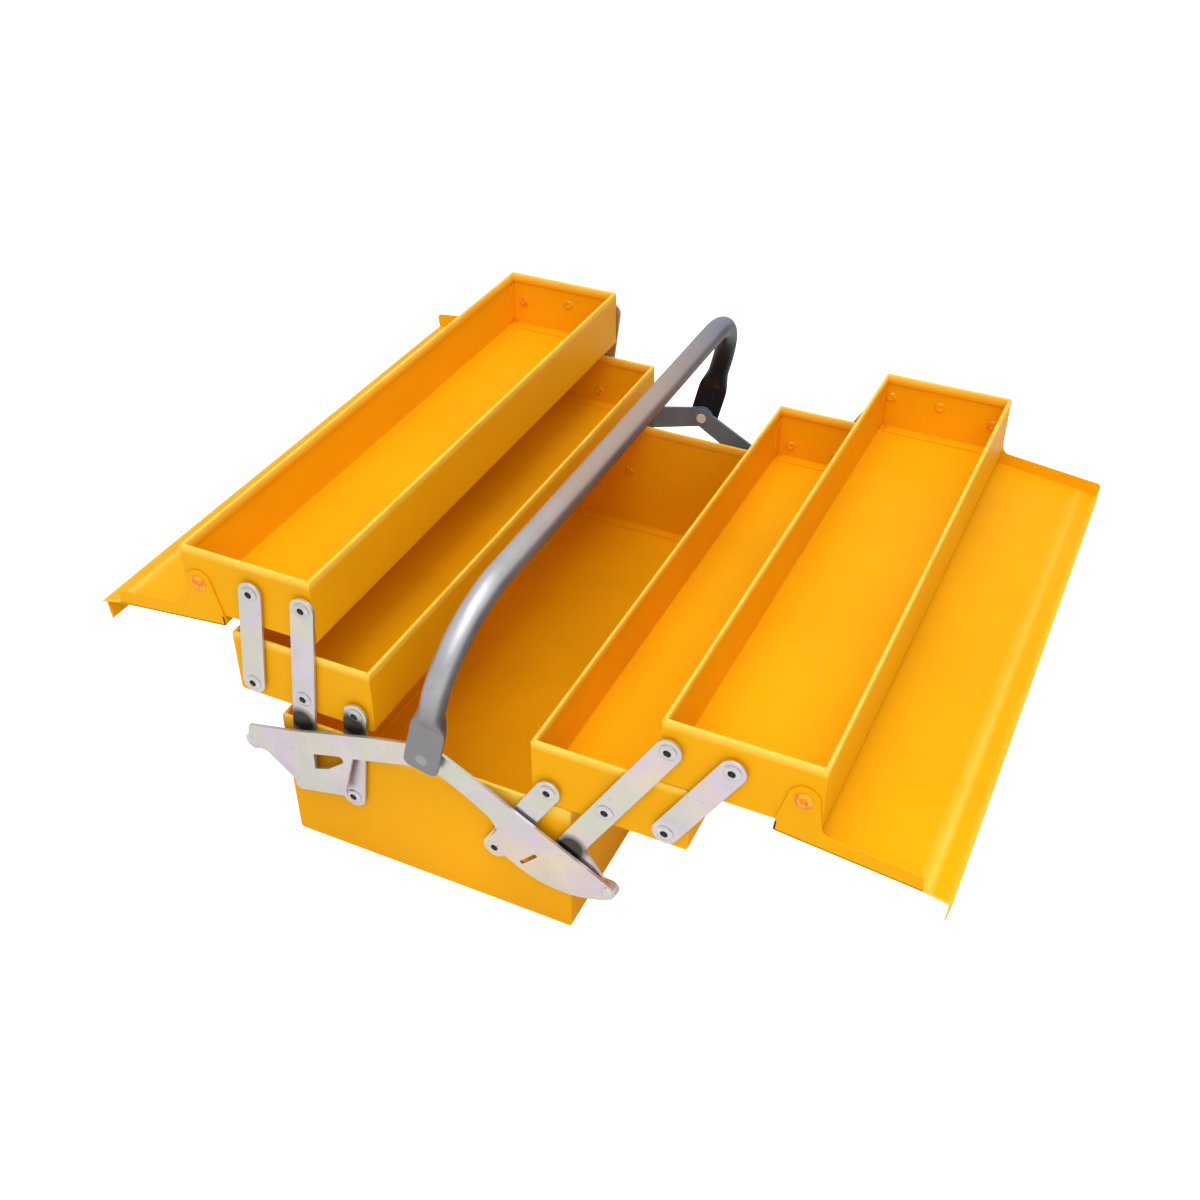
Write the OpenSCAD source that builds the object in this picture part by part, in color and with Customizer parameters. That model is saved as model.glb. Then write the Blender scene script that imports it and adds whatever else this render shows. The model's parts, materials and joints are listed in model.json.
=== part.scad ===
// Cantilever tool box: a deep bottom box and two pairs of trays that spread sideways
// on parallel links, with pivoted lids and one carrying handle held by toggle plates.
// Units are millimetres. X runs across the box, Y along it and Z up. The origin is the
// middle of the box's underside. Every piece is drawn for the right-hand side with the
// side folded shut, then moved to the pose that the Pose section sets; the left-hand
// side is the mirror image.

/* [Box] */
// Length of the box over its end walls
box_len = 420; // [350:1:520]
// Width of the box over its side walls
box_w = 200; // [180:1:240]
// Height of the bottom box
box_h = 100; // [90:1:130]
// Thickness of the sheet steel
sheet = 1; // [0.8:0.1:1.4]

/* [Trays] */
// Height of each tray
tray_h = 45; // [40:1:52]
// Gap between a tray and what it sits over when folded
stack_gap = 1.4; // [1:0.1:3]
// Half of the gap between the two lower trays when folded
lower_gap = 2.5; // [2:0.5:12]
// Half of the gap between the two upper trays when folded
upper_gap = 8.5; // [3:0.5:14]
// Width of the folded hem along each rim
hem_w = 2.4; // [2:0.1:4]
// Height of the folded hem
hem_h = 7; // [5:0.5:10]
// Outer radius of the bend between floor and walls
bend_r = 2.5; // [2:0.1:5]
// Depth of the tabs that join an end wall to the floor and side walls
tab_w = 9; // [6:0.5:14]

/* [Links] */
// Height of the lower tray's pivots above its floor
pin_low = 11.5; // [10:0.5:13]
// Height that the pivots gain in the upper tray over those in the lower one
pin_gain = 14.5; // [13:0.5:16]
// Distance of the long arms' pivots inside the outer faces
pin_out = 13; // [12:0.5:16]
// Distance of the innermost pivots from the lower tray's inner face
pin_in = 11.3; // [10.5:0.1:14]
// Width of a link
link_w = 16; // [12:0.5:20]
// Thickness of a link
link_t = 2; // [1.5:0.1:3]

/* [Toggle] */
// Length of the crank on the foot of each long arm
crank_len = 40; // [34:0.5:44]
// Width of the crank round its pin
crank_tip = 11; // [10:0.5:14]
// Angle from the long arm to its crank
crank_angle = 60; // [55:1:66]
// Length of a toggle plate beyond the reach of the open cranks
wing_spare = 7; // [4:0.5:12]
// Thickness of a toggle plate
wing_t = 2; // [1.5:0.1:3]
// Width of a toggle plate at its foot pin
wing_w = 16; // [14:0.5:20]
// Depth of a right-hand toggle plate below the line of its pins
belly = 33; // [28:1:36]
// Depth of its curved lower edge at the tip
belly_tip = 10; // [8:0.5:12]
// Depth of the squared lobe on a left-hand toggle plate
lobe = 38; // [30:1:42]

/* [Lids] */
// Distance of the lid pivot inside the tray's outer face
lid_in = 10.6; // [8:0.1:14]
// Clear height between the tray's rim and the shut lid
lid_clear = 3.5; // [2.5:0.1:6]
// Clear height between the tray's floor and the open lid below it
lid_under = 7.7; // [6:0.1:9]
// Radius of the ear round the lid's pivot
lid_ear = 9; // [8:0.5:11]
// Half of the gap between the two shut lids
lid_gap = 2; // [1:0.5:5]
// Depth of the skirt on the lid's hinged edge
skirt_out = 6.8; // [4:0.1:7]
// Depth of the skirt on the lid's ends
skirt_end = 10; // [7:0.5:12]
// Height of the lip on the lid's free edge
lip_h = 16; // [8:0.5:20]
// Width of the strip between the crease and the free edge
crease_w = 14; // [8:0.5:20]
// Rise of that strip towards the free edge
crease_turn = 7; // [2:0.5:10]
// Length by which the lip stops short of the near end
lip_near = 3; // [0:1:40]
// Length by which the lip stops short of the far end
lip_far = 32; // [0:1:40]

/* [Handle] */
// Outer diameter of the handle tube
tube_d = 16; // [12:0.5:18]
// Wall of the handle tube
tube_wall = 1.2; // [1:0.1:2]
// Height of the bar's middle above the foot pin
handle_h = 106; // [100:1:130]
// Bend radius of the tube's middle line
handle_bend = 58; // [40:1:62]
// Width of the flattened foot
foot_w = 23; // [19:0.5:26]
// Thickness of the flattened foot
foot_t = 3; // [2.4:0.1:4]
// Depth of the foot below its pin
foot_down = 9; // [8:0.5:13]
// Height of the flat part of the foot above the pin
foot_up = 24; // [16:1:30]
// Length over which the tube turns from flat to round
foot_taper = 20; // [12:1:26]

/* [Rivets] */
// Diameter of a rivet's shank
rivet_d = 6; // [5:0.5:7]
// Diameter of a rivet's head
head_d = 10.5; // [9:0.5:12]
// Diameter of the drilled mouth in a rivet's head
mouth_d = 4.4; // [3:0.2:5]
// Thickness of a rivet's head
head_t = 1.1; // [0.8:0.1:1.4]
// Diameter of a rivet's tail, on the inside of the end wall
tail_d = 8; // [7:0.5:9]
// Thickness of the washer between an end wall and a link
washer_t = 1.5; // [1:0.1:2]
// Diameter of that washer
washer_d = 10.5; // [9.5:0.5:12]

/* [Fits] */
// Radial clearance of a shank in a hole that turns on it
run_fit = 0.05; // [0.02:0.01:0.1]
// Side play between two pieces that slide over each other
side_play = 0.1; // [0.05:0.05:0.2]
// Gap between the tray's end wall and the lid's skirt
skirt_gap = 0.3; // [0.2:0.1:0.6]
// Gap between a link and the open pin of the left toggle plate
open_gap = 0.5; // [0.4:0.1:1]

/* [Pose] */
// Lean of the right-hand links from upright
right_lean = 31; // [-31:1:31]
// Lean of the left-hand links from upright
left_lean = -7; // [-31:1:31]
// Turn of both lids from shut
lid_turn = 186.5; // [0:0.5:187]
// Lean of the handle from upright
handle_lean = 13.5; // [0:0.5:16]

/* [Hidden] */
$fn = 48;
RIGHT = 1;
LEFT = -1;
NEAR = -1;
FAR = 1;
ENDS = [NEAR, FAR];
half_len = box_len / 2;
half_w = box_w / 2;
// Floor heights of the trays when folded
lower_z = box_h + stack_gap;
upper_z = lower_z + tray_h + stack_gap;
// The long arm's pivot on the box, and the run and rise of one link when folded
link_run = (half_w - pin_out - pin_in - lower_gap) / 2;
link_rise = tray_h + stack_gap + pin_gain;
arm_x = half_w - pin_out;
arm_z = lower_z + pin_low - link_rise;
// Distance between a link's pivots, and its lean from upright at either end of its travel
link_len = norm([link_run, link_rise]);
swing = atan2(link_run, link_rise);
// Distance between the two pins of a toggle plate
wing_len = arm_x + crank_len + wing_spare;
// Pivots when folded, as [x, z]
box_pivots = [[arm_x, arm_z], [arm_x - link_run, arm_z]];
lower_pivots = [for (i = [0:2]) [arm_x - i * link_run, arm_z + link_rise]];
upper_pivots = [for (i = [1:2]) [arm_x - i * link_run, arm_z + 2 * link_rise]];
// The lid's pivot, halfway between the shut and the open lid, and what is measured from it
lid_z = (tray_h + lid_clear - lid_under) / 2;
lid_pivot = [half_w - lid_in, upper_z + lid_z];
lid_top = tray_h - lid_z + lid_clear + sheet;
lid_outer = lid_in + skirt_gap + sheet;
lid_free = lid_gap - lid_pivot[0];
lid_y = half_len + skirt_gap;
// Layers outwards from the end walls, each given by its inner face
link_y = half_len + washer_t + side_play;
inner_wing_y = link_y + link_t + 5 * side_play + head_t;
outer_wing_y = inner_wing_y + wing_t + 4 * side_play;
foot_y = outer_wing_y + wing_t + 4 * side_play;
handle_y = foot_y + foot_t / 2;

paint = [0.98, 0.62, 0.06];
zinc = [0.82, 0.82, 0.84];
steel = [0.55, 0.56, 0.58];

// ---------- places ----------

function lean(side) = side == RIGHT ? right_lean : left_lean;

// Outward and upward move of a tray, for each stage of links under it
function stage(side) =
    link_len * [sin(lean(side)) + sin(swing), cos(lean(side)) - cos(swing)];

// Pin on the end of the crank, in the side's own half-plane
function crank_pin(side) =
    let (a = 90 - lean(side) - crank_angle)
    [arm_x, arm_z] + crank_len * [cos(a), sin(a)];

// Meeting point of the two toggle plates, where the handle's foot hangs
pin_right = crank_pin(RIGHT);
pin_left = [-crank_pin(LEFT)[0], crank_pin(LEFT)[1]];
pin_span = pin_right - pin_left;
pin_up = sqrt(pow(wing_len, 2) - pow(norm(pin_span) / 2, 2));
foot_pin = (pin_right + pin_left) / 2
    + pin_up * [-pin_span[1], pin_span[0]] / norm(pin_span);

// Draws a piece of one side that is carried on the given number of link stages
module carried(side, stages) {
    move = stages * stage(side);
    mirror([side == LEFT ? 1 : 0, 0, 0])
        translate([move[0], 0, move[1]]) children();
}

// Stands a flat outline up in the XZ plane, from y outwards at the given end
module upright(y, t, end) {
    translate([0, end == NEAR ? -y : y + t, 0])
        rotate([90, 0, 0]) linear_extrude(t) children();
}

// Extrudes an XZ outline along the box, centred on it
module along(length) {
    translate([0, length / 2, 0]) rotate([90, 0, 0]) linear_extrude(length) children();
}

// ---------- outlines ----------

// A rectangle whose two lower corners are rounded
module trough_outline(w, h, r) {
    translate([0, r]) square([w, h - r]);
    translate([r, 0]) square([w - 2 * r, r]);
    translate([r, r]) circle(r);
    translate([w - r, r]) circle(r);
}

// The section of a sheet that is folded flat at a rim, with its edge at the origin
module hem_outline() {
    translate([0, -hem_h]) square([hem_w, hem_h - hem_w / 2]);
    translate([hem_w / 2, -hem_w / 2]) circle(hem_w / 2);
}

// A strip of sheet along a bent path, rounded at each bend
module sheet_outline(path) {
    for (i = [0:len(path) - 2]) {
        run = path[i + 1] - path[i];
        translate(path[i]) rotate(atan2(run[1], run[0]))
            translate([0, -sheet / 2]) square([norm(run), sheet]);
    }
    for (i = [1:len(path) - 2]) translate(path[i]) circle(d = sheet);
}

// A flat bar between two points, with round ends
module bar_outline(from, to, w) {
    run = to - from;
    translate(from) rotate(atan2(run[1], run[0])) {
        translate([0, -w / 2]) square([norm(run), w]);
        circle(d = w);
        translate([norm(run), 0]) circle(d = w);
    }
}

// A flat bar whose width changes from one round end to the other
module tapered_outline(from, to, w_from, w_to) {
    run = to - from;
    translate(from) rotate(atan2(run[1], run[0])) {
        polygon([
            [0, -w_from / 2], [norm(run), -w_to / 2], [norm(run), w_to / 2], [0, w_from / 2]
        ]);
        circle(d = w_from);
        translate([norm(run), 0]) circle(d = w_to);
    }
}

// ---------- sheet-metal pieces ----------

// Floor and two side walls in one bent sheet, with hemmed rims
module trough(x, w, z, h) {
    along(box_len - 2 * sheet) translate([x, z]) {
        difference() {
            trough_outline(w, h - hem_h / 2, bend_r);
            translate([sheet, sheet]) trough_outline(w - 2 * sheet, h, bend_r - sheet);
        }
        translate([0, h]) hem_outline();
        translate([w, h]) mirror([1, 0]) hem_outline();
    }
}

// End wall with a hemmed rim and three tabs turned inwards, pierced for its rivets
module end_wall(x, w, z, h, end, holes) {
    inner = half_len - sheet;
    difference() {
        upright(inner, sheet, end) translate([x, z])
            trough_outline(w, h - hem_w / 2, bend_r);
        for (p = holes) spindle(p, end, inner - 1, half_len + 1, rivet_d / 2);
    }
    mirror([0, end == NEAR ? 1 : 0, 0]) {
        translate([x + hem_w, 0, z + h]) rotate([90, 0, 90])
            linear_extrude(w - 2 * hem_w) translate([half_len, 0]) mirror([1, 0]) hem_outline();
        difference() {
            for (tab_x = [x + sheet, x + w - 2 * sheet])
                translate([tab_x, inner - tab_w, z + 2 * bend_r])
                    cube([sheet, tab_w, h - hem_h - 3 * bend_r]);
            for (p = holes) spindle(p, FAR, inner - tab_w - 1, inner + 1, tail_d / 2 + sheet);
        }
        translate([x + 2 * bend_r, inner - tab_w, z + sheet])
            cube([w - 4 * bend_r, tab_w, sheet]);
    }
}

// A lid drawn about its pivot, shut: panel, creased strip, lip, skirts and two ears
module lid_shape() {
    mid = lid_top - sheet / 2;
    crease = lid_free + crease_w;
    edge = [lid_free + sheet / 2, mid + crease_w * tan(crease_turn)];
    corner = [lid_outer - sheet / 2, mid];
    length = 2 * (lid_y + sheet);
    along(length) {
        sheet_outline([edge, [crease, mid], corner, corner - [0, skirt_out - sheet / 2]]);
        translate(edge) circle(d = sheet);
    }
    translate([0, (lip_near - lip_far) / 2, 0]) along(length - lip_near - lip_far)
        sheet_outline([edge + [0, lip_h - sheet / 2], edge, [crease, mid]]);
    // The near skirt stops at the crease and the far one runs on to the free edge
    for (end = ENDS) difference() {
        from = end == NEAR ? crease + 2 * sheet : lid_free + sheet;
        union() {
            upright(lid_y, sheet, end) translate([from, lid_top - skirt_end])
                square([lid_outer - from, skirt_end - sheet / 2]);
            upright(lid_y, sheet, end) circle(r = lid_ear);
            upright(lid_y, sheet, end) polygon([
                [-1.7 * lid_ear, lid_top - skirt_end + sheet], [-lid_ear, 0],
                [lid_ear, 0], [lid_outer, lid_top - skirt_end + sheet]
            ]);
        }
        spindle([0, 0], end, lid_y - 1, lid_y + sheet + 1, rivet_d / 2 + run_fit);
    }
}

module lid(side) {
    color(paint) carried(side, 2) translate([lid_pivot[0], 0, lid_pivot[1]])
        rotate([0, lid_turn, 0]) lid_shape();
}

// ---------- rivets, washers and pins ----------

// A round bar at point p of the XZ plane, from y0 outwards to y1 at the given end
module spindle(p, end, y0, y1, r, r_out = 0) {
    translate([p[0], 0, p[1]]) mirror([0, end == NEAR ? 1 : 0, 0])
        translate([0, y0, 0]) rotate([-90, 0, 0])
            cylinder(h = y1 - y0, r1 = r, r2 = r_out == 0 ? r : r_out);
}

// A rivet that is set in an end wall, holds what turns on it up to y_out and has a
// drilled mouth in its head
module rivet(p, end, y_out) {
    inner = half_len - sheet;
    difference() {
        union() {
            spindle(p, end, inner - head_t, inner, tail_d / 3, tail_d / 2);
            spindle(p, end, inner, y_out, rivet_d / 2);
            spindle(p, end, y_out, y_out + head_t, head_d / 2, head_d / 3);
        }
        spindle(p, end, y_out - head_t, y_out + 2 * head_t, mouth_d / 2);
    }
}

module link_rivets(side, stages, pivots) {
    color(steel) carried(side, stages)
        for (end = ENDS, p = pivots) rivet(p, end, link_y + link_t + side_play);
}

module washers(side, stages, pivots) {
    color(steel) carried(side, stages) for (end = ENDS, p = pivots) difference() {
        spindle(p, end, half_len, half_len + washer_t, washer_d / 2);
        spindle(p, end, half_len - 1, half_len + washer_t + 1, rivet_d / 2);
    }
}

// ---------- links ----------

function link_end(from, side, n = 1) = from + n * link_len * [sin(lean(side)), cos(lean(side))];

module link(side, stages, from, end) {
    to = link_end(from, side);
    color(zinc) carried(side, stages) difference() {
        upright(link_y, link_t, end) bar_outline(from, to, link_w);
        for (p = [from, to]) spindle(p, end, link_y - 1, link_y + link_t + 1, rivet_d / 2 + run_fit);
    }
}

// A link of double length whose foot carries the crank
module long_arm(side, end) {
    foot = box_pivots[0];
    tip = link_end(foot, side, 2);
    pin = crank_pin(side);
    color(zinc) carried(side, 0) difference() {
        upright(link_y, link_t, end) {
            bar_outline(foot, tip, link_w);
            tapered_outline(foot, pin, link_w, crank_tip);
            polygon([foot, pin, link_end(foot, side, 0.5)]);
        }
        for (p = [foot, link_end(foot, side), tip])
            spindle(p, end, link_y - 1, link_y + link_t + 1, rivet_d / 2 + run_fit);
        if (side == RIGHT) spindle(pin, end, link_y - 1, link_y + link_t + 1, rivet_d / 2);
    }
}

// ---------- toggle plates and handle ----------

// Lays an outline drawn along a toggle plate, lobe below, over the plate's two pins
module toggle_layer(side, end, y, t) {
    run = (side == RIGHT ? pin_right : pin_left) - foot_pin;
    upright(y, t, end) translate(foot_pin) rotate(atan2(run[1], run[0]))
        mirror([0, side == LEFT ? 1 : 0]) children();
}

// A right-hand toggle plate: a neck, a hooked heel and a blade with a curved lower edge,
// which is the arc that falls from belly_tip under the tip pin to belly under its middle
module blade(end, y) {
    half = wing_w / 2;
    middle = 0.635 * wing_len;
    drop = belly - belly_tip;
    arc_r = (pow(wing_len - middle, 2) + drop * drop) / (2 * drop);
    neck_end = 62;
    tip_r = 5.2;
    toggle_layer(RIGHT, end, y, wing_t) circle(half);
    toggle_layer(RIGHT, end, y, wing_t) polygon([
        [0, half - 0.2], [46, half], [neck_end, tip_r + 1.4], [neck_end, -17], [52, -11.5],
        [38, -9.6], [0, 0.2 - half]
    ]);
    toggle_layer(RIGHT, end, y, wing_t) translate([neck_end + 3.6, 8.2 - belly]) circle(5.8);
    toggle_layer(RIGHT, end, y, wing_t) translate([wing_len, 0]) circle(tip_r);
    toggle_layer(RIGHT, end, y, wing_t) intersection() {
        translate([middle, arc_r - belly]) circle(arc_r, $fn = 96);
        polygon([
            [neck_end - 1.5, tip_r + 1.6], [wing_len, tip_r - 0.2], [wing_len, 0],
            [wing_len + tip_r - 0.5, -0.5], [wing_len + tip_r - 0.5, -14],
            [wing_len - 14, -40], [neck_end - 1.5, -40]
        ]);
    }
}

// A left-hand toggle plate: a straight bar with a squared lobe below its outer half
module paddle(end, y) {
    half = wing_w / 2;
    lobe_from = 77;
    lobe_to = wing_len - 25;
    toggle_layer(LEFT, end, y, wing_t) circle(half + 0.5);
    toggle_layer(LEFT, end, y, wing_t) translate([wing_len - 1.5, 1.2]) circle(6.3);
    toggle_layer(LEFT, end, y, wing_t) translate([lobe_to, 6 - lobe]) circle(4);
    toggle_layer(LEFT, end, y, wing_t) translate([lobe_from, 3.6 - lobe]) circle(3.5);
    toggle_layer(LEFT, end, y, wing_t) polygon([
        [0, half + 0.2], [33, 10.5], [wing_len - 37, 11.7], [wing_len - 4, 14],
        [wing_len - 2.4, 13.2], [wing_len + 2.6, 3], [wing_len - 4, -4.6],
        [wing_len - 19, -11], [wing_len - 24, -18], [lobe_to + 3.7, 6 - lobe],
        [lobe_to, 2.3 - lobe], [lobe_from, 0.3 - lobe], [lobe_from - 3.2, 4 - lobe],
        [lobe_from - 20, -7], [0, -half - 0.2]
    ]);
}

module toggle(side, end) {
    y = side == RIGHT ? inner_wing_y : outer_wing_y;
    tip = side == RIGHT ? pin_right : pin_left;
    tip_fit = side == RIGHT ? run_fit : 0;
    color(zinc) difference() {
        union() {
            if (side == RIGHT) blade(end, y);
            if (side == LEFT) paddle(end, y);
        }
        // The notch in the blade's heel and its slit
        if (side == RIGHT) toggle_layer(side, end, y - 1, wing_t + 2)
            translate([65.4, 4 - belly]) circle(2.4);
        if (side == RIGHT) toggle_layer(side, end, y - 1, wing_t + 2)
            bar_outline([84.5, 6 - belly], [88, -14.5], 2.6);
        // The paddle's D-shaped slot
        if (side == LEFT) toggle_layer(side, end, y - 1, wing_t + 2)
            translate([68, -8.8]) circle(2.9);
        if (side == LEFT) toggle_layer(side, end, y - 1, wing_t + 2)
            polygon([[68, -5.9], [87, -5.6], [91, -17.6], [80, -16.8], [66.7, -11.4]]);
        spindle(foot_pin, end, y - 1, y + wing_t + 1, rivet_d / 2 + run_fit);
        spindle(tip, end, y - 1, y + wing_t + 1, rivet_d / 2 + tip_fit);
    }
}

// Pins that are set in the right-hand cranks, with a collar up to the toggle plate
module crank_pins_right() {
    y_out = inner_wing_y + wing_t + side_play;
    color(steel) for (end = ENDS) {
        spindle(pin_right, end, link_y - head_t + side_play, link_y, tail_d / 2);
        spindle(pin_right, end, link_y, y_out, rivet_d / 2);
        spindle(pin_right, end, link_y + link_t, inner_wing_y - side_play, head_d / 2);
        spindle(pin_right, end, y_out, y_out + head_t, tail_d / 2, tail_d / 3);
    }
}

// Pins that are set in the left-hand toggle plates and stop short of the cranks
module toggle_pins_left() {
    y_out = outer_wing_y + wing_t;
    color(steel) for (end = ENDS) {
        spindle(pin_left, end, link_y + link_t + open_gap, outer_wing_y, head_d / 2);
        spindle(pin_left, end, outer_wing_y, y_out, rivet_d / 2);
        spindle(pin_left, end, y_out, y_out + head_t / 2, tail_d / 2, tail_d / 3);
    }
}

module handle_pins() {
    y_in = inner_wing_y - side_play;
    color(steel) for (end = ENDS) {
        spindle(foot_pin, end, y_in - head_t + side_play, y_in, tail_d / 2);
        spindle(foot_pin, end, y_in, foot_y + foot_t, rivet_d / 2);
        spindle(foot_pin, end, foot_y + foot_t, foot_y + foot_t + head_t / 2, tail_d / 2, tail_d / 3);
    }
}

// The round run of the handle: two legs, two bends and the bar between them
module handle_run(r, leg_from) {
    straight = handle_y - handle_bend;
    rise = handle_h - handle_bend;
    translate([0, -straight, handle_h]) rotate([-90, 0, 0]) cylinder(h = 2 * straight, r = r);
    for (turn = [0, 1]) mirror([0, turn, 0]) {
        translate([0, straight, rise]) rotate([90, 0, 90])
            rotate_extrude(angle = 90) translate([handle_bend, 0]) circle(r);
        translate([0, handle_y, leg_from]) cylinder(h = rise - leg_from, r = r);
    }
}

// A flattened foot with a squared end, tapering up to the round leg
module handle_foot() {
    corner_r = 4;
    difference() {
        union() {
            upright(foot_y, foot_t, FAR) translate([-foot_w / 2, corner_r - foot_down])
                square([foot_w, foot_up + foot_down - corner_r]);
            upright(foot_y, foot_t, FAR)
                translate([corner_r - foot_w / 2, -foot_down])
                    square([foot_w - 2 * corner_r, 2 * corner_r]);
            for (x = [corner_r - foot_w / 2, foot_w / 2 - corner_r])
                spindle([x, corner_r - foot_down], FAR, foot_y, foot_y + foot_t, corner_r);
        }
        spindle([0, 0], FAR, foot_y - 1, foot_y + foot_t + 1, rivet_d / 2);
    }
    hull() {
        translate([-foot_w / 2, foot_y, foot_up - 0.01]) cube([foot_w, foot_t, 0.01]);
        translate([0, handle_y, foot_up + foot_taper]) cylinder(h = 0.01, d = tube_d, $fn = 32);
    }
}

module handle() {
    round_from = foot_up + foot_taper;
    color(steel) translate([foot_pin[0], 0, foot_pin[1]]) rotate([0, handle_lean, 0]) {
        difference() {
            handle_run(tube_d / 2, round_from);
            handle_run(tube_d / 2 - tube_wall, round_from + tube_wall);
        }
        for (turn = [0, 1]) mirror([0, turn, 0]) handle_foot();
    }
}

// ---------- the pieces by name ----------

both_sides = [for (side = [RIGHT, LEFT], p = box_pivots) [side * p[0], p[1]]];

module box_trough() { color(paint) trough(-half_w, box_w, 0, box_h); }
module box_end(end) { color(paint) end_wall(-half_w, box_w, 0, box_h, end, both_sides); }
module lower_tray(side) {
    color(paint) carried(side, 1) trough(lower_gap, half_w - lower_gap, lower_z, tray_h);
}
module lower_end(side, end) {
    color(paint) carried(side, 1)
        end_wall(lower_gap, half_w - lower_gap, lower_z, tray_h, end, lower_pivots);
}
module upper_tray(side) {
    color(paint) carried(side, 2) trough(upper_gap, half_w - upper_gap, upper_z, tray_h);
}
module upper_end(side, end) {
    color(paint) carried(side, 2) end_wall(
        upper_gap, half_w - upper_gap, upper_z, tray_h, end, concat(upper_pivots, [lid_pivot])
    );
}
module upper_rivets(side) {
    link_rivets(side, 2, upper_pivots);
    color(steel) carried(side, 2)
        for (end = ENDS) rivet(lid_pivot, end, lid_y + sheet + side_play);
}

box_trough();
box_end(NEAR);  // box_end_near
box_end(FAR);  // box_end_far
link_rivets(RIGHT, 0, both_sides);  // box_rivets
washers(RIGHT, 0, both_sides);  // box_washers
lower_tray(RIGHT);  // lower_tray_right
lower_end(RIGHT, NEAR);  // lower_end_right_near
lower_end(RIGHT, FAR);  // lower_end_right_far
link_rivets(RIGHT, 1, lower_pivots);  // lower_rivets_right
washers(RIGHT, 1, lower_pivots);  // lower_washers_right
upper_tray(RIGHT);  // upper_tray_right
upper_end(RIGHT, NEAR);  // upper_end_right_near
upper_end(RIGHT, FAR);  // upper_end_right_far
upper_rivets(RIGHT);  // upper_rivets_right
washers(RIGHT, 2, upper_pivots);  // upper_washers_right
lid(RIGHT);  // lid_right
long_arm(RIGHT, NEAR);  // long_arm_right_near
long_arm(RIGHT, FAR);  // long_arm_right_far
link(RIGHT, 0, box_pivots[1], NEAR);  // inner_link_right_near
link(RIGHT, 0, box_pivots[1], FAR);  // inner_link_right_far
link(RIGHT, 1, lower_pivots[0], NEAR);  // outer_link_right_near
link(RIGHT, 1, lower_pivots[0], FAR);  // outer_link_right_far
lower_tray(LEFT);  // lower_tray_left
lower_end(LEFT, NEAR);  // lower_end_left_near
lower_end(LEFT, FAR);  // lower_end_left_far
link_rivets(LEFT, 1, lower_pivots);  // lower_rivets_left
washers(LEFT, 1, lower_pivots);  // lower_washers_left
upper_tray(LEFT);  // upper_tray_left
upper_end(LEFT, NEAR);  // upper_end_left_near
upper_end(LEFT, FAR);  // upper_end_left_far
upper_rivets(LEFT);  // upper_rivets_left
washers(LEFT, 2, upper_pivots);  // upper_washers_left
lid(LEFT);  // lid_left
long_arm(LEFT, NEAR);  // long_arm_left_near
long_arm(LEFT, FAR);  // long_arm_left_far
link(LEFT, 0, box_pivots[1], NEAR);  // inner_link_left_near
link(LEFT, 0, box_pivots[1], FAR);  // inner_link_left_far
link(LEFT, 1, lower_pivots[0], NEAR);  // outer_link_left_near
link(LEFT, 1, lower_pivots[0], FAR);  // outer_link_left_far
toggle(RIGHT, NEAR);  // toggle_right_near
toggle(RIGHT, FAR);  // toggle_right_far
toggle(LEFT, NEAR);  // toggle_left_near
toggle(LEFT, FAR);  // toggle_left_far
crank_pins_right();
toggle_pins_left();
handle();
handle_pins();
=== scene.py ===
import json
import math

import bmesh
import bpy
import numpy as np
from bpy.props import FloatProperty, FloatVectorProperty, IntProperty, PointerProperty
from mathutils import Matrix, Vector

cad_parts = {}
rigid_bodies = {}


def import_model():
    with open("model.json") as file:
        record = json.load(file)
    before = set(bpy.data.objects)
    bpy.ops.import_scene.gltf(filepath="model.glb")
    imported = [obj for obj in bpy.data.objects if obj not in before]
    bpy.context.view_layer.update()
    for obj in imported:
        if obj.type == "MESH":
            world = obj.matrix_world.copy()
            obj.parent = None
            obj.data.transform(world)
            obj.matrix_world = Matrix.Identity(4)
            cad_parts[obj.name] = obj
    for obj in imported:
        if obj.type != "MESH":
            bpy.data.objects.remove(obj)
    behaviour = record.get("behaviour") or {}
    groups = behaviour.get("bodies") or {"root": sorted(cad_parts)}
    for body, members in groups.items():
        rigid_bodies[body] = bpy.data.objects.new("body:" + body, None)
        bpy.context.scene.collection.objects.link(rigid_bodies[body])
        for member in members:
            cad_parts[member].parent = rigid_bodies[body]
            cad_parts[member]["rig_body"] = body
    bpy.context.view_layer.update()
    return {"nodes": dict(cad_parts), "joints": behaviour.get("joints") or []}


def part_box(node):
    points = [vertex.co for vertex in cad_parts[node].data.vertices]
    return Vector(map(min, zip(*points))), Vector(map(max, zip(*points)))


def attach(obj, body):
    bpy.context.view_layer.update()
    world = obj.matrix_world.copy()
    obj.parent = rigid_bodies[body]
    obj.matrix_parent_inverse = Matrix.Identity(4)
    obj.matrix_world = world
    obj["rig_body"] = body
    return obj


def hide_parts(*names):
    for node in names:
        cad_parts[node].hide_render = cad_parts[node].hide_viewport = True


bl_info = {
    "name": "Cantilever Tool Box",
    "version": (1, 0, 0),
    "blender": (4, 5, 0),
    "location": "View3D > Sidebar > Tool Box",
    "description": "Dresses the folding tool box: painted sheet, plated links, tube handle",
    "category": "Object",
}

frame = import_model()
JOINTS = {joint["name"]: joint for joint in frame["joints"]}
SIDES = {"right": 1.0, "left": -1.0}
ENDS = {"near": -1.0, "far": 1.0}
# How far from the middle plane rivets sit: the end walls' two faces, and 0.1 mm clear of
# the lids' ears and of the links
WALL_IN, WALL_OUT, EAR_OUT, LINK_OUT = 0.209, 0.210, 0.2114, 0.2137
# Rows of points along a trough or lid, an end wall and a tab
LONG_ROWS, WALL_ROWS, TAB_ROWS = 48, 26, 6
# A sheet's second row of points lies this share of its length in from the end
EDGE_SHARE = 0.004
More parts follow.
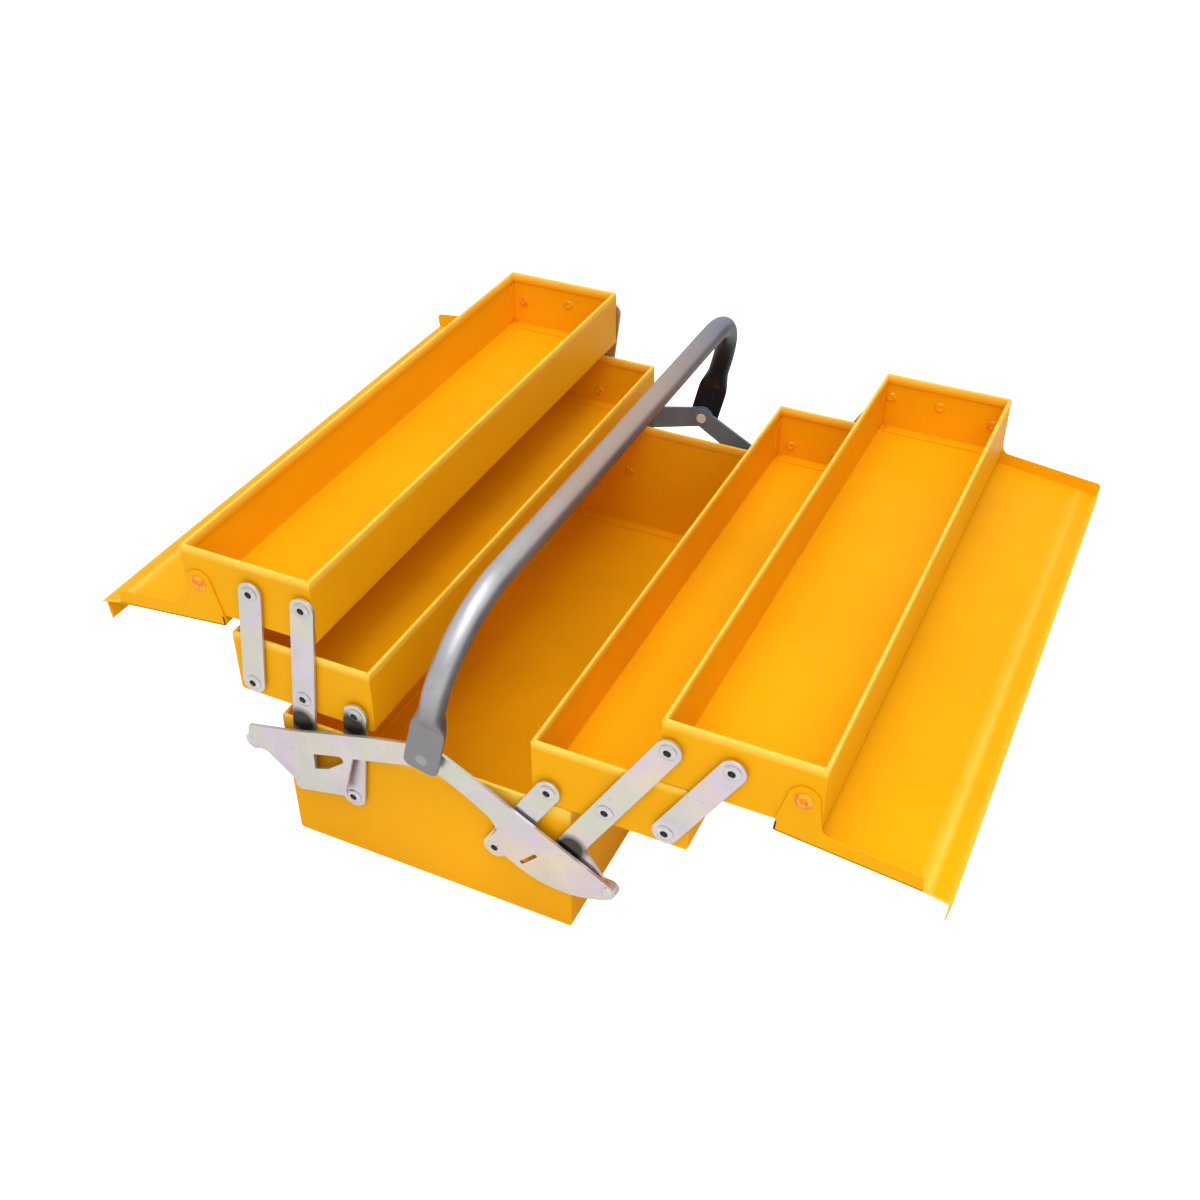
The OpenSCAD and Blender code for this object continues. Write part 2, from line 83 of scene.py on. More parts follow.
# Where painted shade darkens the links, arms and rivets: where the long arms pass behind the toggle
# plates and round the left inner link's top, the same at both ends; and how far it reaches
SHADED_PLACES = [(0.102, 0.2136, 0.0745), (-0.0820, 0.2136, 0.1035), (-0.0441, 0.2136, 0.1145)]
SHADE_REACH = 0.0125
# Noise stretched into fine lines along y, as by rolling
ROLLED = (1, 0.05, 1)
# Widths of the rounding on the edges of plates and of pins
PLATE_ROUNDING, PIN_ROUNDING = 0.0004, 0.0002


# ---- settings


def metres(name, text, default):
    """A length in metres with its name, its meaning and its default."""
    return FloatProperty(name=name, description=text, default=default, unit="LENGTH", precision=5)


def angle(name, text, default):
    """An angle with its name, its meaning and its default in radians."""
    return FloatProperty(name=name, description=text, default=default, subtype="ANGLE")


def paint_colour(name, text, default):
    """A colour with its name, its meaning and its default."""
    return FloatVectorProperty(
        name=name, description=text, default=default, subtype="COLOR", size=3, min=0, max=1
    )


class SheetSizes(bpy.types.PropertyGroup):
    """Sizes of the folded sheet steel."""

    thickness: metres("Thickness", "Thickness of the sheet", 0.001)
    hem_width: metres("Hem width", "Width of the folded hem on a rim", 0.0024)
    hem_height: metres("Hem height", "Height of the folded hem", 0.007)
    bend_radius: metres("Bend radius", "Outer radius where wall meets floor", 0.0025)
    tab_depth: metres("Tab depth", "Depth of the end walls' tabs", 0.009)
    ripple: metres("Ripple", "Height of the slow waves in the pressed sheet", 0.00012)
    weld: metres("Weld", "Diameter of a spot weld's mark", 0.005)
    weld_rise: metres("Weld rise", "Height of the ring of a spot weld's mark", 0.00025)
    weld_pitch: metres("Weld pitch", "Distance between spot welds along a tab", 0.036)


class LidSizes(bpy.types.PropertyGroup):
    """Sizes of a lid, measured from its pivot with the lid shut."""

    top: metres("Top", "Height of the panel's outer face above the pivot", 0.0291)
    free_edge: metres("Free edge", "Distance from the pivot to the free edge", 0.0874)
    outer_edge: metres("Outer edge", "Distance from the pivot to the hinged edge", 0.0119)
    crease: metres("Crease", "Width of the strip beside the free edge", 0.014)
    crease_turn: angle("Crease turn", "Rise of that strip", math.radians(7))
    lip: metres("Lip", "Height of the lip on the free edge", 0.016)
    lip_near: metres("Lip near", "How far the lip stops short of the near end", 0.003)
    lip_far: metres("Lip far", "How far the lip stops short of the far end", 0.032)
    outer_skirt: metres("Outer skirt", "Depth of the skirt on the hinged edge", 0.0068)
    end_skirt: metres("End skirt", "Depth of the skirts on the ends", 0.010)
    ear: metres("Ear", "Radius of the ear round the pivot", 0.009)
    turn: angle("Turn", "How far the lids stand open", math.radians(186.5))


class HandleSizes(bpy.types.PropertyGroup):
    """Sizes of the carrying handle."""

    tube: metres("Tube", "Diameter of the tube", 0.01597)
    height: metres("Height", "Height of the bar above the foot pins", 0.106)
    bend: metres("Bend", "Radius of the tube's bends", 0.058)
    foot_width: metres("Foot width", "Width of the flattened foot", 0.023)
    foot_thickness: metres("Foot thickness", "Thickness of the flattened foot", 0.003)
    foot_down: metres("Foot down", "Depth of the foot below its pin", 0.009)
    foot_corner: metres("Foot corner", "Radius of the foot's corners", 0.004)
    foot_flat: metres("Foot flat", "Height of the flat above the foot pin", 0.024)
    foot_taper: metres("Foot taper", "Length from flat to round", 0.020)
    lean: angle("Lean", "Lean of the handle to the right", math.radians(13.5))


class RivetSizes(bpy.types.PropertyGroup):
    """Sizes of the rivets, pins and washers."""

    head: metres("Head", "Diameter of a head", 0.0105)
    rise: metres("Rise", "Height of a head", 0.0011)
    mouth: metres("Mouth", "Diameter of the drilled mouth in a head", 0.0044)
    washer: metres("Washer", "Diameter of a washer", 0.0105)
    washer_thickness: metres("Washer thickness", "Thickness of a washer", 0.0015)
    shank: metres("Shank", "Diameter of a shank", 0.006)
    tail: metres("Tail", "Diameter of the formed tail inside the wall", 0.008)
    segments: IntProperty(name="Segments", description="Steps round a rivet", default=40, min=12)


class Finishes(bpy.types.PropertyGroup):
    """Colours of the finishes, and of the painted shade and painted highlight laid on them."""

    paint: paint_colour("Paint", "Powder coat", (0.87, 0.40, 0.004))
    # Painted highlight on hems, folds, the lid's crease and the sheets' ends; also the colour of
    # the scuffs
    rim_highlight_and_scuff: paint_colour("Rim", "Powder coat where it thins on a rim", (1.0, 0.66, 0.10))
    sheen: paint_colour("Sheen", "Colour of the powder coat's gloss", (1.0, 0.55, 0.05))
    paint_worn: paint_colour("Worn", "Powder coat round a pivot", (0.86, 0.16, 0.012))
    zinc: paint_colour("Zinc", "Bright zinc plate", (0.63, 0.60, 0.59))
    cream: paint_colour("Cream", "Warm tint of the zinc", (0.74, 0.62, 0.41))
    lilac: paint_colour("Lilac", "Violet tint of the zinc", (0.60, 0.53, 0.70))
    mint: paint_colour("Mint", "Green tint of the zinc", (0.54, 0.60, 0.51))
    # Painted shade: the dark tone of the far toggle plates and of the tube's far end
    far_shade: paint_colour("Slate", "Dull plate of the far toggles", (0.13, 0.175, 0.235))
    # Painted shade: the near-black far leg of the tube and the shade along its right side and
    # underneath
    tube_shade: paint_colour("Soot", "Blackened far leg of the handle", (0.006, 0.011, 0.021))
    # Painted shade on the links, arms and rivets near the toggle plates, and in the rivets' drilled
    # mouths
    painted_shade: paint_colour("Grease", "Old grease where plates rub", (0.05, 0.046, 0.04))
    tube: paint_colour("Tube", "Satin plated tube", (0.43, 0.43, 0.45))
    # A warmer tone over the bar beyond its near bend
    tube_warm: paint_colour("Warm tube", "Satin plate warmed by handling", (0.42, 0.32, 0.27))
    rivet: paint_colour("Rivet", "Plated rivets", (0.62, 0.61, 0.62))


class StageSizes(bpy.types.PropertyGroup):
    """The camera, measured round the box."""

    azimuth: angle("Azimuth", "Camera's turn round the box", 0.438)
    elevation: angle("Elevation", "Camera's height angle", 0.650)
    roll: angle("Roll", "Camera's roll", 0.002)
    lens: FloatProperty(name="Lens", description="Focal length in millimetres", default=43.44)
    place: FloatVectorProperty(
        name="Place", description="Camera's place", default=(0.36598, -0.73799, 0.70283),
        subtype="TRANSLATION", size=3,
    )


# ---- materials


def shader_nodes(name):
    """A new material, its node tree and its principled shader."""
    material = bpy.data.materials.new(name)
    material.use_nodes = True
    tree = material.node_tree
    return material, tree, tree.nodes["Principled BSDF"]


def wire(tree, node, inputs):
    """Each input of the node linked, if it's given a socket, or set; returns the outputs."""
    for name, value in inputs.items():
        if isinstance(value, bpy.types.NodeSocket):
            tree.links.new(value, node.inputs[name])
        else:
            node.inputs[name].default_value = value
    return node.outputs


def add_node(tree, kind, inputs=None, **settings):
    """A new shader node with its settings and its inputs; returns the outputs."""
    node = tree.nodes.new("ShaderNode" + kind)
    for setting, value in settings.items():
        setattr(node, setting, value)
    return wire(tree, node, inputs or {})


def object_noise(tree, scale, detail=3.0, stretch=(1, 1, 1), roughness=0.5):
    """Noise on Object coordinates, stretched along the axes."""
    place = add_node(tree, "TexCoord")["Object"]
    stretched = add_node(tree, "Mapping", {"Vector": place, "Scale": stretch})["Vector"]
    return add_node(tree, "TexNoise", {
        "Vector": stretched, "Scale": scale, "Detail": detail, "Roughness": roughness,
    })["Fac"]


def object_axes(tree):
    """X, Y and Z of the Object coordinates."""
    return tuple(add_node(tree, "SeparateXYZ", {"Vector": add_node(tree, "TexCoord")["Object"]}))


def weight_of(tree, name):
    """A weight carried by the points, nought where a piece has none."""
    return add_node(tree, "Attribute", attribute_name=name)["Fac"]


def ramp(tree, value, low, high, to_low=0.0, to_high=1.0):
    """Value carried from low..high to to_low..to_high, and held beyond them."""
    return add_node(tree, "MapRange", {
        "Value": value, "From Min": low, "From Max": high, "To Min": to_low, "To Max": to_high,
    })["Result"]


def maths(tree, operation, *values):
    """The result of a maths operation on one or two values."""
    return add_node(tree, "Math", dict(enumerate(values)), operation=operation)["Value"]


def mix_colours(tree, factor, first, second):
    """A mix of two colours, each a plain colour or a socket."""
    pair = [c if isinstance(c, bpy.types.NodeSocket) else (*c, 1) for c in (first, second)]
    inputs = {"Factor": factor, "A": pair[0], "B": pair[1]}
    return add_node(tree, "Mix", inputs, data_type="RGBA")["Result"]


def scaled(colour, factor):
    """A colour made brighter or darker, but no brighter than 1."""
    return tuple(min(1.0, c * factor) for c in colour)


def bumps(tree, *layers):
    """The normal over bump layers, each a height, a strength and a distance, one on another."""
    below = {}
    for height, strength, distance in layers:
        inputs = {"Height": height, "Strength": strength, "Distance": distance, **below}
        below = {"Normal": add_node(tree, "Bump", inputs)["Normal"]}
    return below["Normal"]


def powder_coat(finishes):
    """Glossy powder coat: slow drifts of colour, a painted highlight on rims, folds and the lid's
    crease, orange peel and fine scuffs.
    """
    material, tree, shader = shader_nodes("powder_coat")
    drift = ramp(tree, object_noise(tree, 9, 4), 0.35, 0.65)
    tone = mix_colours(tree, drift, scaled(finishes.paint, 0.95), scaled(finishes.paint, 1.04))
    scuff = ramp(tree, object_noise(tree, 60, 6, (1, 0.12, 1), 0.7), 0.66, 0.74, 0, 0.25)
    tone = mix_colours(tree, scuff, tone, scaled(finishes.rim_highlight_and_scuff, 0.9))
    patch = ramp(tree, object_noise(tree, 45, 5), 0.3, 0.7, 0.6, 1.0)
    # Painted highlight: paler paint on rims, folds, the lid's crease and the sheets' ends, in
    # patches
    highlight_share = maths(tree, "MULTIPLY", weight_of(tree, "rim"), patch)
    slow, peel = object_noise(tree, 16, 2), object_noise(tree, 520, 2)
    wire(tree, shader, {
        "Base Color": mix_colours(tree, highlight_share, tone, finishes.rim_highlight_and_scuff),
        "Roughness": ramp(tree, object_noise(tree, 30, 5), 0.3, 0.7, 0.38, 0.48),
        "Specular IOR Level": 0.08,
        "Specular Tint": (*finishes.sheen, 1),
        "Normal": bumps(tree, (slow, 0.25, 0.0016), (peel, 0.10, 0.0002)),
    })
    return material


def painted_rivet(finishes):
    """Powder coat over a rivet, rubbed darker in patches where the lid's ear turns."""
    material, tree, shader = shader_nodes("painted_rivet")
    rub = ramp(tree, object_noise(tree, 380, 4), 0.42, 0.58)
    wire(tree, shader, {
        "Base Color": mix_colours(tree, rub, finishes.paint, finishes.paint_worn),
        "Roughness": ramp(tree, rub, 0, 1, 0.34, 0.5),
        "Normal": bumps(tree, (object_noise(tree, 600, 2), 0.15, 0.0002)),
    })
    return material


def painted_shade_weight(tree):
    """Painted shade: 1 near a shaded place and 0 at its reach, by the distance to the nearest of
    them.
    """
    x, y, z = object_axes(tree)
    here = add_node(tree, "CombineXYZ", {"X": x, "Y": maths(tree, "ABSOLUTE", y), "Z": z})["Vector"]
    nearest = None
    for place in SHADED_PLACES:
        away = add_node(tree, "VectorMath", {0: here, 1: place}, operation="DISTANCE")["Value"]
        nearest = away if nearest is None else maths(tree, "MINIMUM", nearest, away)
    return ramp(tree, nearest, SHADE_REACH * 0.55, SHADE_REACH, 1.0, 0.0)


def plated(finishes, name, colour, roughness, spots, metal=1.0, tints=(), with_painted_shade=False):
    """Plated steel: cloudy crystals, small dull spots, slow tints of the passivation and, where
    asked, painted shade where the long arms pass behind the toggle plates and round an inner link's
    top. Returns its tone besides the nodes."""
    material, tree, shader = shader_nodes(name)
    cloud = ramp(tree, object_noise(tree, 55, 5), 0.3, 0.7)
    tone = mix_colours(tree, cloud, scaled(colour, 0.88), scaled(colour, 1.05))
    for scale, tint in tints:
        veil = ramp(tree, object_noise(tree, scale, 2), 0.46, 0.66, 0, 0.75)
        tone = mix_colours(tree, veil, tone, tint)
    speck = ramp(tree, object_noise(tree, 230, 4), 0.62, 0.72, 0, spots)
    tone = mix_colours(tree, speck, tone, scaled(colour, 0.5))
    # Painted shade where the long arms pass behind the toggle plates and round an inner link's top
    if with_painted_shade:
        tone = mix_colours(tree, painted_shade_weight(tree), tone, finishes.painted_shade)
    rough = ramp(tree, object_noise(tree, 90, 5), 0.3, 0.7, roughness - 0.05, roughness + 0.08)
    slow, fine = object_noise(tree, 28, 2), object_noise(tree, 260, 3)
    wire(tree, shader, {
        "Base Color": tone,
        "Metallic": metal,
        "Roughness": rough,
        "Normal": bumps(tree, (slow, 0.2, 0.0008), (fine, 0.08, 0.0002)),
    })
    return material, tree, shader, tone


def zinc_plate(finishes, name, with_painted_shade):
    """Bright zinc plate with three slow tints."""
    tints = [(17, finishes.cream), (23, finishes.lilac), (31, finishes.mint)]
    return plated(finishes, name, finishes.zinc, 0.36, 0.2, 0.85, tints, with_painted_shade)[0]


def bright_zinc(finishes):
    """Clean zinc plate, for the near toggle plates."""
    return zinc_plate(finishes, "bright_zinc", with_painted_shade=False)


def greased_zinc(finishes):
    """Zinc plate with painted shade near the toggle plates, for the links and long arms."""
    return zinc_plate(finishes, "greased_zinc", with_painted_shade=True)


def slate_plate(finishes):
    """Painted shade: the far toggle plates, the same zinc parts as the near ones, in a dark dull
    plate.
    """
    return plated(finishes, "slate_plate", finishes.far_shade, 0.45, 0.4, 0.1)[0]


def rivet_plate(finishes):
    """Bright rivets: the tails painted over with the walls, painted shade in the drilled mouths,
    and painted shade near the toggle plates as on the links.
    """
    made = plated(finishes, "rivet_plate", finishes.rivet, 0.30, 0.3, with_painted_shade=True)
    material, tree, shader, bright = made
    inside, mouth = weight_of(tree, "painted"), weight_of(tree, "mouth")
    cloud = ramp(tree, object_noise(tree, 300, 3), 0.4, 0.6)
    coat = mix_colours(tree, cloud, scaled(finishes.paint, 0.80), finishes.paint)
    tone = mix_colours(tree, inside, bright, coat)
    # Painted shade in the drilled mouth, which also loses its metal there
    wire(tree, shader, {
        "Base Color": mix_colours(tree, mouth, tone, scaled(finishes.painted_shade, 0.8)),
        "Metallic": ramp(tree, maths(tree, "MAXIMUM", inside, mouth), 0, 1, 1, 0),
    })
    return material


def pin_plate(finishes):
    """The foot pins: bright plate, but the near outer head dulled like the foot round it."""
    made = plated(finishes, "pin_plate", scaled(finishes.rivet, 1.15), 0.34, 0.3, 0.2)
    material, tree, shader, bright = made
    darkened = ramp(tree, object_axes(tree)[1], -0.2225, -0.2215, 1, 0)
    wire(tree, shader, {"Base Color": mix_colours(tree, darkened, bright, scaled(finishes.tube, 0.7))})
    return material


def satin_tube(finishes):
    """Satin plated tube: rolling lines and a cloudy tone, a warmer tone along the bar and darker at
    its feet;
    painted shade darkens it towards its far end, to near black on the far leg, and along its right
    side and underneath."""
    material, tree, shader = shader_nodes("satin_tube")
    _, y, z = object_axes(tree)
    cloud = ramp(tree, object_noise(tree, 40, 5), 0.3, 0.7)
    tone = mix_colours(tree, cloud, scaled(finishes.tube, 0.88), scaled(finishes.tube, 1.06))
    # Painted shade towards the far end, with less metal there
    darkened = ramp(tree, y, 0.05, 0.19)
    deepest = 0.72
    # Painted shade along the right side and underneath, in patches
    under = ramp(tree, weight_of(tree, "under"), 0.16, 0.5, 0, deepest)
    patchy = ramp(tree, object_noise(tree, 26, 4), 0.35, 0.65, 0.78, 1.0)
    painted_tube_shade = maths(tree, "MULTIPLY", under, patchy)
    speck = ramp(tree, object_noise(tree, 210, 4), 0.62, 0.72, 0, 0.25)
    for share, colour in (
        (ramp(tree, y, -0.17, -0.07), finishes.tube_warm),
        (darkened, finishes.far_shade),
        (ramp(tree, z, 0.177, 0.152, 0, 0.95), scaled(finishes.tube, 0.53)),
        (ramp(tree, y, 0.185, 0.213), finishes.tube_shade),
        (painted_tube_shade, finishes.tube_shade),
        (speck, scaled(finishes.tube, 0.5)),
    ):
        tone = mix_colours(tree, share, tone, colour)
    bare, unshaded = ramp(tree, darkened, 0, 1, 0.8, 0.0), ramp(tree, painted_tube_shade, 0, deepest, 1.0, 0.3)
    slow, lines = object_noise(tree, 24, 2), object_noise(tree, 300, 3, ROLLED)
    wire(tree, shader, {
        "Base Color": tone,
        "Metallic": maths(tree, "MULTIPLY", bare, unshaded),
        "Roughness": ramp(tree, object_noise(tree, 90, 5, ROLLED), 0.3, 0.7, 0.36, 0.48),
        "Specular IOR Level": 0.2,
        "Normal": bumps(tree, (slow, 0.2, 0.0008), (lines, 0.08, 0.0002)),
    })
    return material


# What makes each finish, and its material slot
FINISHES = {
    "powder_coat": (powder_coat, "paint"),
    "painted_rivet": (painted_rivet, "paint"),
    "bright_zinc": (bright_zinc, "zinc_plate"),
    "greased_zinc": (greased_zinc, "zinc_plate"),
    "slate_plate": (slate_plate, "dark_plate"),
    "rivet_plate": (rivet_plate, "rivet_steel"),
    "pin_plate": (pin_plate, "rivet_steel"),
    "satin_tube": (satin_tube, "handle_tube"),
}


# ---- mesh making


def place_piece(name, node, mesh, finish, crease):
    """An object of the mesh that stands for a CAD node and rides its body, smooth but for
    edges sharper than crease degrees. A finish is made when it's first used."""
    make, slot = FINISHES[finish]
    scene = bpy.context.scene
    mesh.materials.append(bpy.data.materials.get(finish) or make(scene.toolbox_finishes))
    mesh.shade_smooth()
    mesh.set_sharp_from_angle(angle=math.radians(crease))
    piece = bpy.data.objects.new(name, mesh)
    scene.collection.objects.link(piece)
    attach(piece, frame["nodes"][node]["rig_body"])
    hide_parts(node)
    return piece


def mesh_piece(name, node, points, faces, finish="powder_coat", crease=35.0, **weights):
    """A piece from points and faces, turned outwards, with weights carried by its points."""
    mesh = bpy.data.meshes.new(name)
    mesh.from_pydata(points.reshape(-1, 3).tolist(), [], faces)
    made = bmesh.new()
    made.from_mesh(mesh)
    bmesh.ops.recalc_face_normals(made, faces=made.faces)
    made.to_mesh(mesh)
    made.free()
    for weight, values in weights.items():
        layer = mesh.attributes.new(weight, "FLOAT", "POINT")
        layer.data.foreach_set("value", np.asarray(values, np.float32).ravel())
    return place_piece(name, node, mesh, finish, crease)


def softened_piece(name, node, finish, width, crease=35.0):
    """A piece copied from a CAD node, with its edges rounded over by a small width."""
    made = bmesh.new()
    made.from_mesh(frame["nodes"][node].data)
    bmesh.ops.remove_doubles(made, verts=made.verts, dist=2e-6)
    bmesh.ops.dissolve_limit(
        made, angle_limit=math.radians(0.5), verts=made.verts, edges=made.edges
    )
    mesh = bpy.data.meshes.new(name)
    made.to_mesh(mesh)
    made.free()
    mesh.materials.clear()
    piece = place_piece(name, node, mesh, finish, crease)
    rounding = piece.modifiers.new("rounding", "BEVEL")
    rounding.width = width
    rounding.segments = 2
    rounding.limit_method = "ANGLE"
    rounding.angle_limit = math.radians(crease)
    rounding.harden_normals = True


def arc(centre, radius, start, stop, count):
    """Points on a circle from one angle to another, in degrees, as pairs."""
    turn = np.radians(np.linspace(start, stop, count))
    return np.stack([centre[0] + radius * np.cos(turn), centre[1] + radius * np.sin(turn)], 1)


def straight(start, stop, count):
    """Evenly spaced points from one place to another, without the last."""
    share = np.linspace(0, 1, count, endpoint=False)[:, None]
    return np.asarray(start) * (1 - share) + np.asarray(stop) * share


def path_normals(path):
    """Unit normals of a flat path: the way between a point's neighbours, turned 90 degrees."""
    along = np.gradient(path, axis=0)
    along /= np.linalg.norm(along, axis=1, keepdims=True)
    return np.stack([along[:, 1], -along[:, 0]], 1)


def station_shares(stations):
    """Shares of the way along a sheet: even steps, and one short step at each end."""
    even = np.linspace(0, 1, stations - 2)
    return np.concatenate([[0, EDGE_SHARE], even[1:-1], [1 - EDGE_SHARE, 1]])


def ripples(path, stations, height, seed):
    """Slow waves over a sheet: a sum of three products of sines, one along the path and one
    along the stations, that dies out at both ends. Less its highest value, it never rises:
    a positive height dents the sheet against its normals and a negative one along them."""
    rng = np.random.default_rng(seed)
    length = np.concatenate([[0], np.cumsum(np.linalg.norm(np.diff(path, axis=0), axis=1))])
    u = length / length[-1]
    v = station_shares(stations)
    waves = np.zeros((stations, len(path)))
    for turns_u, turns_v in ((2, 1), (3, 2), (5, 3)):
        a, b = rng.uniform(0, 6.28, 2)
        waves += np.outer(
            np.sin(turns_v * math.pi * v + b), np.sin(turns_u * math.pi * u + a)
        ) / turns_u
    window = np.clip(np.minimum(v, 1 - v) * 12, 0, 1)[:, None]
    return height * (waves - waves.max()) * window


def grid_faces(rows, around, last_to_first=False):
    """Quads between rows of points, each row once round; last_to_first also closes the rows
    into a ring."""
    steps = rows if last_to_first else rows - 1
    i, j = np.meshgrid(np.arange(steps), np.arange(around), indexing="ij")
    a, b = (i + 1) % rows, (j + 1) % around
    quads = np.stack([i * around + j, i * around + b, a * around + b, a * around + j], -1)
    return quads.reshape(-1, 4).tolist()


def rod_faces(rows, around):
    """Quads between rows of points, and one face over the first row and over the last."""
    count = rows * around
    ends = [list(range(around)), list(range(count - 1, count - around - 1, -1))]
    return grid_faces(rows, around) + ends


def strip_faces(stations, count):
    """Faces of a carried strip: quads round it, and quads across the strip at both ends."""
    ring = 2 * count
    a = np.arange(count - 1)
    first = np.stack([a, a + 1, ring - 2 - a, ring - 1 - a], -1)
    last = first[:, ::-1] + (stations - 1) * ring
    return grid_faces(stations, ring) + first.tolist() + last.tolist()


def carry_sheet(path, low, high, stations, ripple=0.0, seed=0):
    """A bent sheet: the path is offset by half the thickness to each side, and that closed
    strip is carried from low to high, which may differ along the path. Returns an array of
    (station, round, 3) with the path's plane in the last two, its faces, and the rounds'
    path index."""
    thickness = bpy.context.scene.toolbox_sheet.thickness
    normals = path_normals(path)
    share = station_shares(stations)[:, None]
    across = (low * (1 - share) + high * share) * np.ones(len(path))
    waves = ripples(path, stations, ripple, seed)
    layers = []
    for side in (0.5, -0.5):
        flat = path[None] + normals[None] * (side * thickness + waves)[..., None]
        layers.append(np.concatenate([across[..., None], flat], 2))
    index = np.arange(len(path))
    ring = np.concatenate([layers[0], layers[1][:, ::-1]], 1)
    return ring, strip_faces(stations, len(path)), np.concatenate([index, index[::-1]])


def joined(parts):
    """Several (points, faces, weight) in one, each weight a number or one for every point."""
    points, faces, weights, start = [], [], [], 0
    for part_points, part_faces, weight in parts:
        flat = part_points.reshape(-1, 3)
        points.append(flat)
        faces += [[v + start for v in face] for face in part_faces]
        weights.append(np.broadcast_to(np.ravel(weight), len(flat)))
        start += len(flat)
    return np.concatenate(points), faces, np.concatenate(weights)


def fading(distance, reach):
    """1 at no distance and falling evenly to 0 at reach."""
    return np.clip(1 - distance / reach, 0, 1)


# ---- box and trays


def hem_path(rim_x, rim_z, inward, sizes):
    """Middle line of a folded hem, from its inner foot up, round the fold and on to the wall.
    The fold is a half circle; inward is +1 where the tray lies on the +x side."""
    half = sizes.thickness / 2
    radius = sizes.hem_width / 2 - half
    centre = (rim_x + inward * sizes.hem_width / 2, rim_z - sizes.hem_width / 2)
    inner = rim_x + inward * (sizes.hem_width - half)
    foot = straight((inner, rim_z - sizes.hem_height), (inner, centre[1]), 4)
    start, stop = (0, 180) if inward > 0 else (180, 0)
    return np.concatenate([foot, arc(centre, radius, start, stop, 9)])


def rim_weights(path, index, rim_z, stations, sizes):
    """Painted highlight: 1 on a hem's fold and fading out over 3 mm below it, for each point of a
    sheet.
    """
    return np.tile(fading(rim_z - sizes.hem_width - path[:, 1], 0.003)[index], stations)


def trough_piece(name, node):
    """Floor and two walls in one bent sheet, carried along y: hem, wall, bend, floor, bend,
    wall and hem. A straight run starts a short way beyond the arc before it."""
    sizes = bpy.context.scene.toolbox_sheet
    low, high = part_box(node)
    half, bend = sizes.thickness / 2, sizes.bend_radius
    first = hem_path(low.x, high.z, 1, sizes)
    last = hem_path(high.x, high.z, -1, sizes)[::-1]
    path = np.concatenate([
        first,
        straight(first[-1] - (0, 0.001), (low.x + half, low.z + bend), 8),
        arc((low.x + bend, low.z + bend), bend - half, 180, 270, 7),
        straight((low.x + bend + 0.004, low.z + half), (high.x - bend, low.z + half), 14),
        arc((high.x - bend, low.z + bend), bend - half, 270, 360, 7),
        straight((high.x - half, low.z + bend + 0.003), last[0] - (0, 0.0005), 8),
        last,
    ])
    ring, faces, index = carry_sheet(path, low.y, high.y, LONG_ROWS, sizes.ripple, len(name))
    rim = rim_weights(path, index, high.z, LONG_ROWS, sizes)
    return mesh_piece(name, node, ring[..., [1, 0, 2]], faces, rim=rim)


def spot_weld(centre, order, side, sizes):
    """A spot weld's mark: a turned ring whose height is the squared sine of the way to its
    rim, closed by a flat back inside the sheet. Its axes are taken in order, and side is -1
    where it faces the negative way."""
    sunk, back = 0.00005, 0.0004
    reach = np.linspace(1, 0, 7)
    height = np.sin(math.pi * reach) ** 2 * sizes.weld_rise - sunk
    ring = np.stack([sizes.weld / 2 * reach, height], 1)
    profile = np.concatenate([[(0, -back), (sizes.weld / 2, -back)], ring])
    points, faces = turned(profile, 20)
    return (points * (1, side, 1))[:, order] + centre, faces, 0.0


def flat_tab(path, low, high, order):
    """A flat tab: a short strip carried across, with its axes taken in order."""
    ring, faces, _ = carry_sheet(np.array(path), low, high, TAB_ROWS)
    return ring[..., order], faces, 0.0


def end_wall_piece(name, node, end_name):
    """An end wall carried along x: hem, wall and foot, its lower corners rounded, with a
    floor tab, two side tabs and their spot welds. A near one mirrors the far one."""
    sizes = bpy.context.scene.toolbox_sheet
    node, end = f"{node}_{end_name}", ENDS[end_name]
    low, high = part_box(node)
    outer = high.y if end > 0 else -low.y
    half, bend = sizes.thickness / 2, sizes.bend_radius
    hem = hem_path(outer, high.z, -1, sizes)
    knee, foot = (outer - half, low.z + bend), (outer - half, low.z)
    path = np.concatenate([
        hem, straight(hem[-1] - (0, 0.0006), knee, 9), straight(knee, foot, 8), [foot],
    ])
    below = np.clip(low.z + bend - path[:, 1], 0, bend)
    inset = bend - np.sqrt(bend**2 - below**2)
    inset[: len(hem) - 1] = sizes.hem_width
    wall, faces, index = carry_sheet(
        path, low.x + inset, high.x - inset, WALL_ROWS, -0.6 * sizes.ripple, seed=7
    )
    parts = [(wall, faces, rim_weights(path, index, high.z, WALL_ROWS, sizes))]
    inner = outer - sizes.thickness
    depths = (inner, inner - 0.003, inner - sizes.tab_depth)
    weld_y = inner - 0.55 * sizes.tab_depth
    skin = 1.5 * sizes.thickness
    floor_z = low.z + skin
    floor_path = [(y, floor_z) for y in depths]
    parts.append(flat_tab(floor_path, low.x + 2 * bend, high.x - 2 * bend, [0, 1, 2]))
    count = round((high.x - low.x) / sizes.weld_pitch)
    for x in np.linspace(low.x, high.x, count + 2)[1:-1]:
        parts.append(spot_weld((x, weld_y, floor_z + half), [0, 2, 1], 1, sizes))
    bottom, top = low.z + 2 * bend, high.z - sizes.hem_height - bend
    for side, wall_x in ((1, low.x + skin), (-1, high.x - skin)):
        parts.append(flat_tab([(wall_x, y) for y in depths], bottom, top, [1, 2, 0]))
        for share in (0.2, 0.8):
            place = (wall_x + side * half, weld_y, bottom + share * (top - bottom))
            parts.append(spot_weld(place, [1, 0, 2], side, sizes))
    points, faces, rim = joined(parts)
    return mesh_piece(f"{name}_{end_name}", node, points * (1, end, 1), faces, rim=rim)


# ---- lids


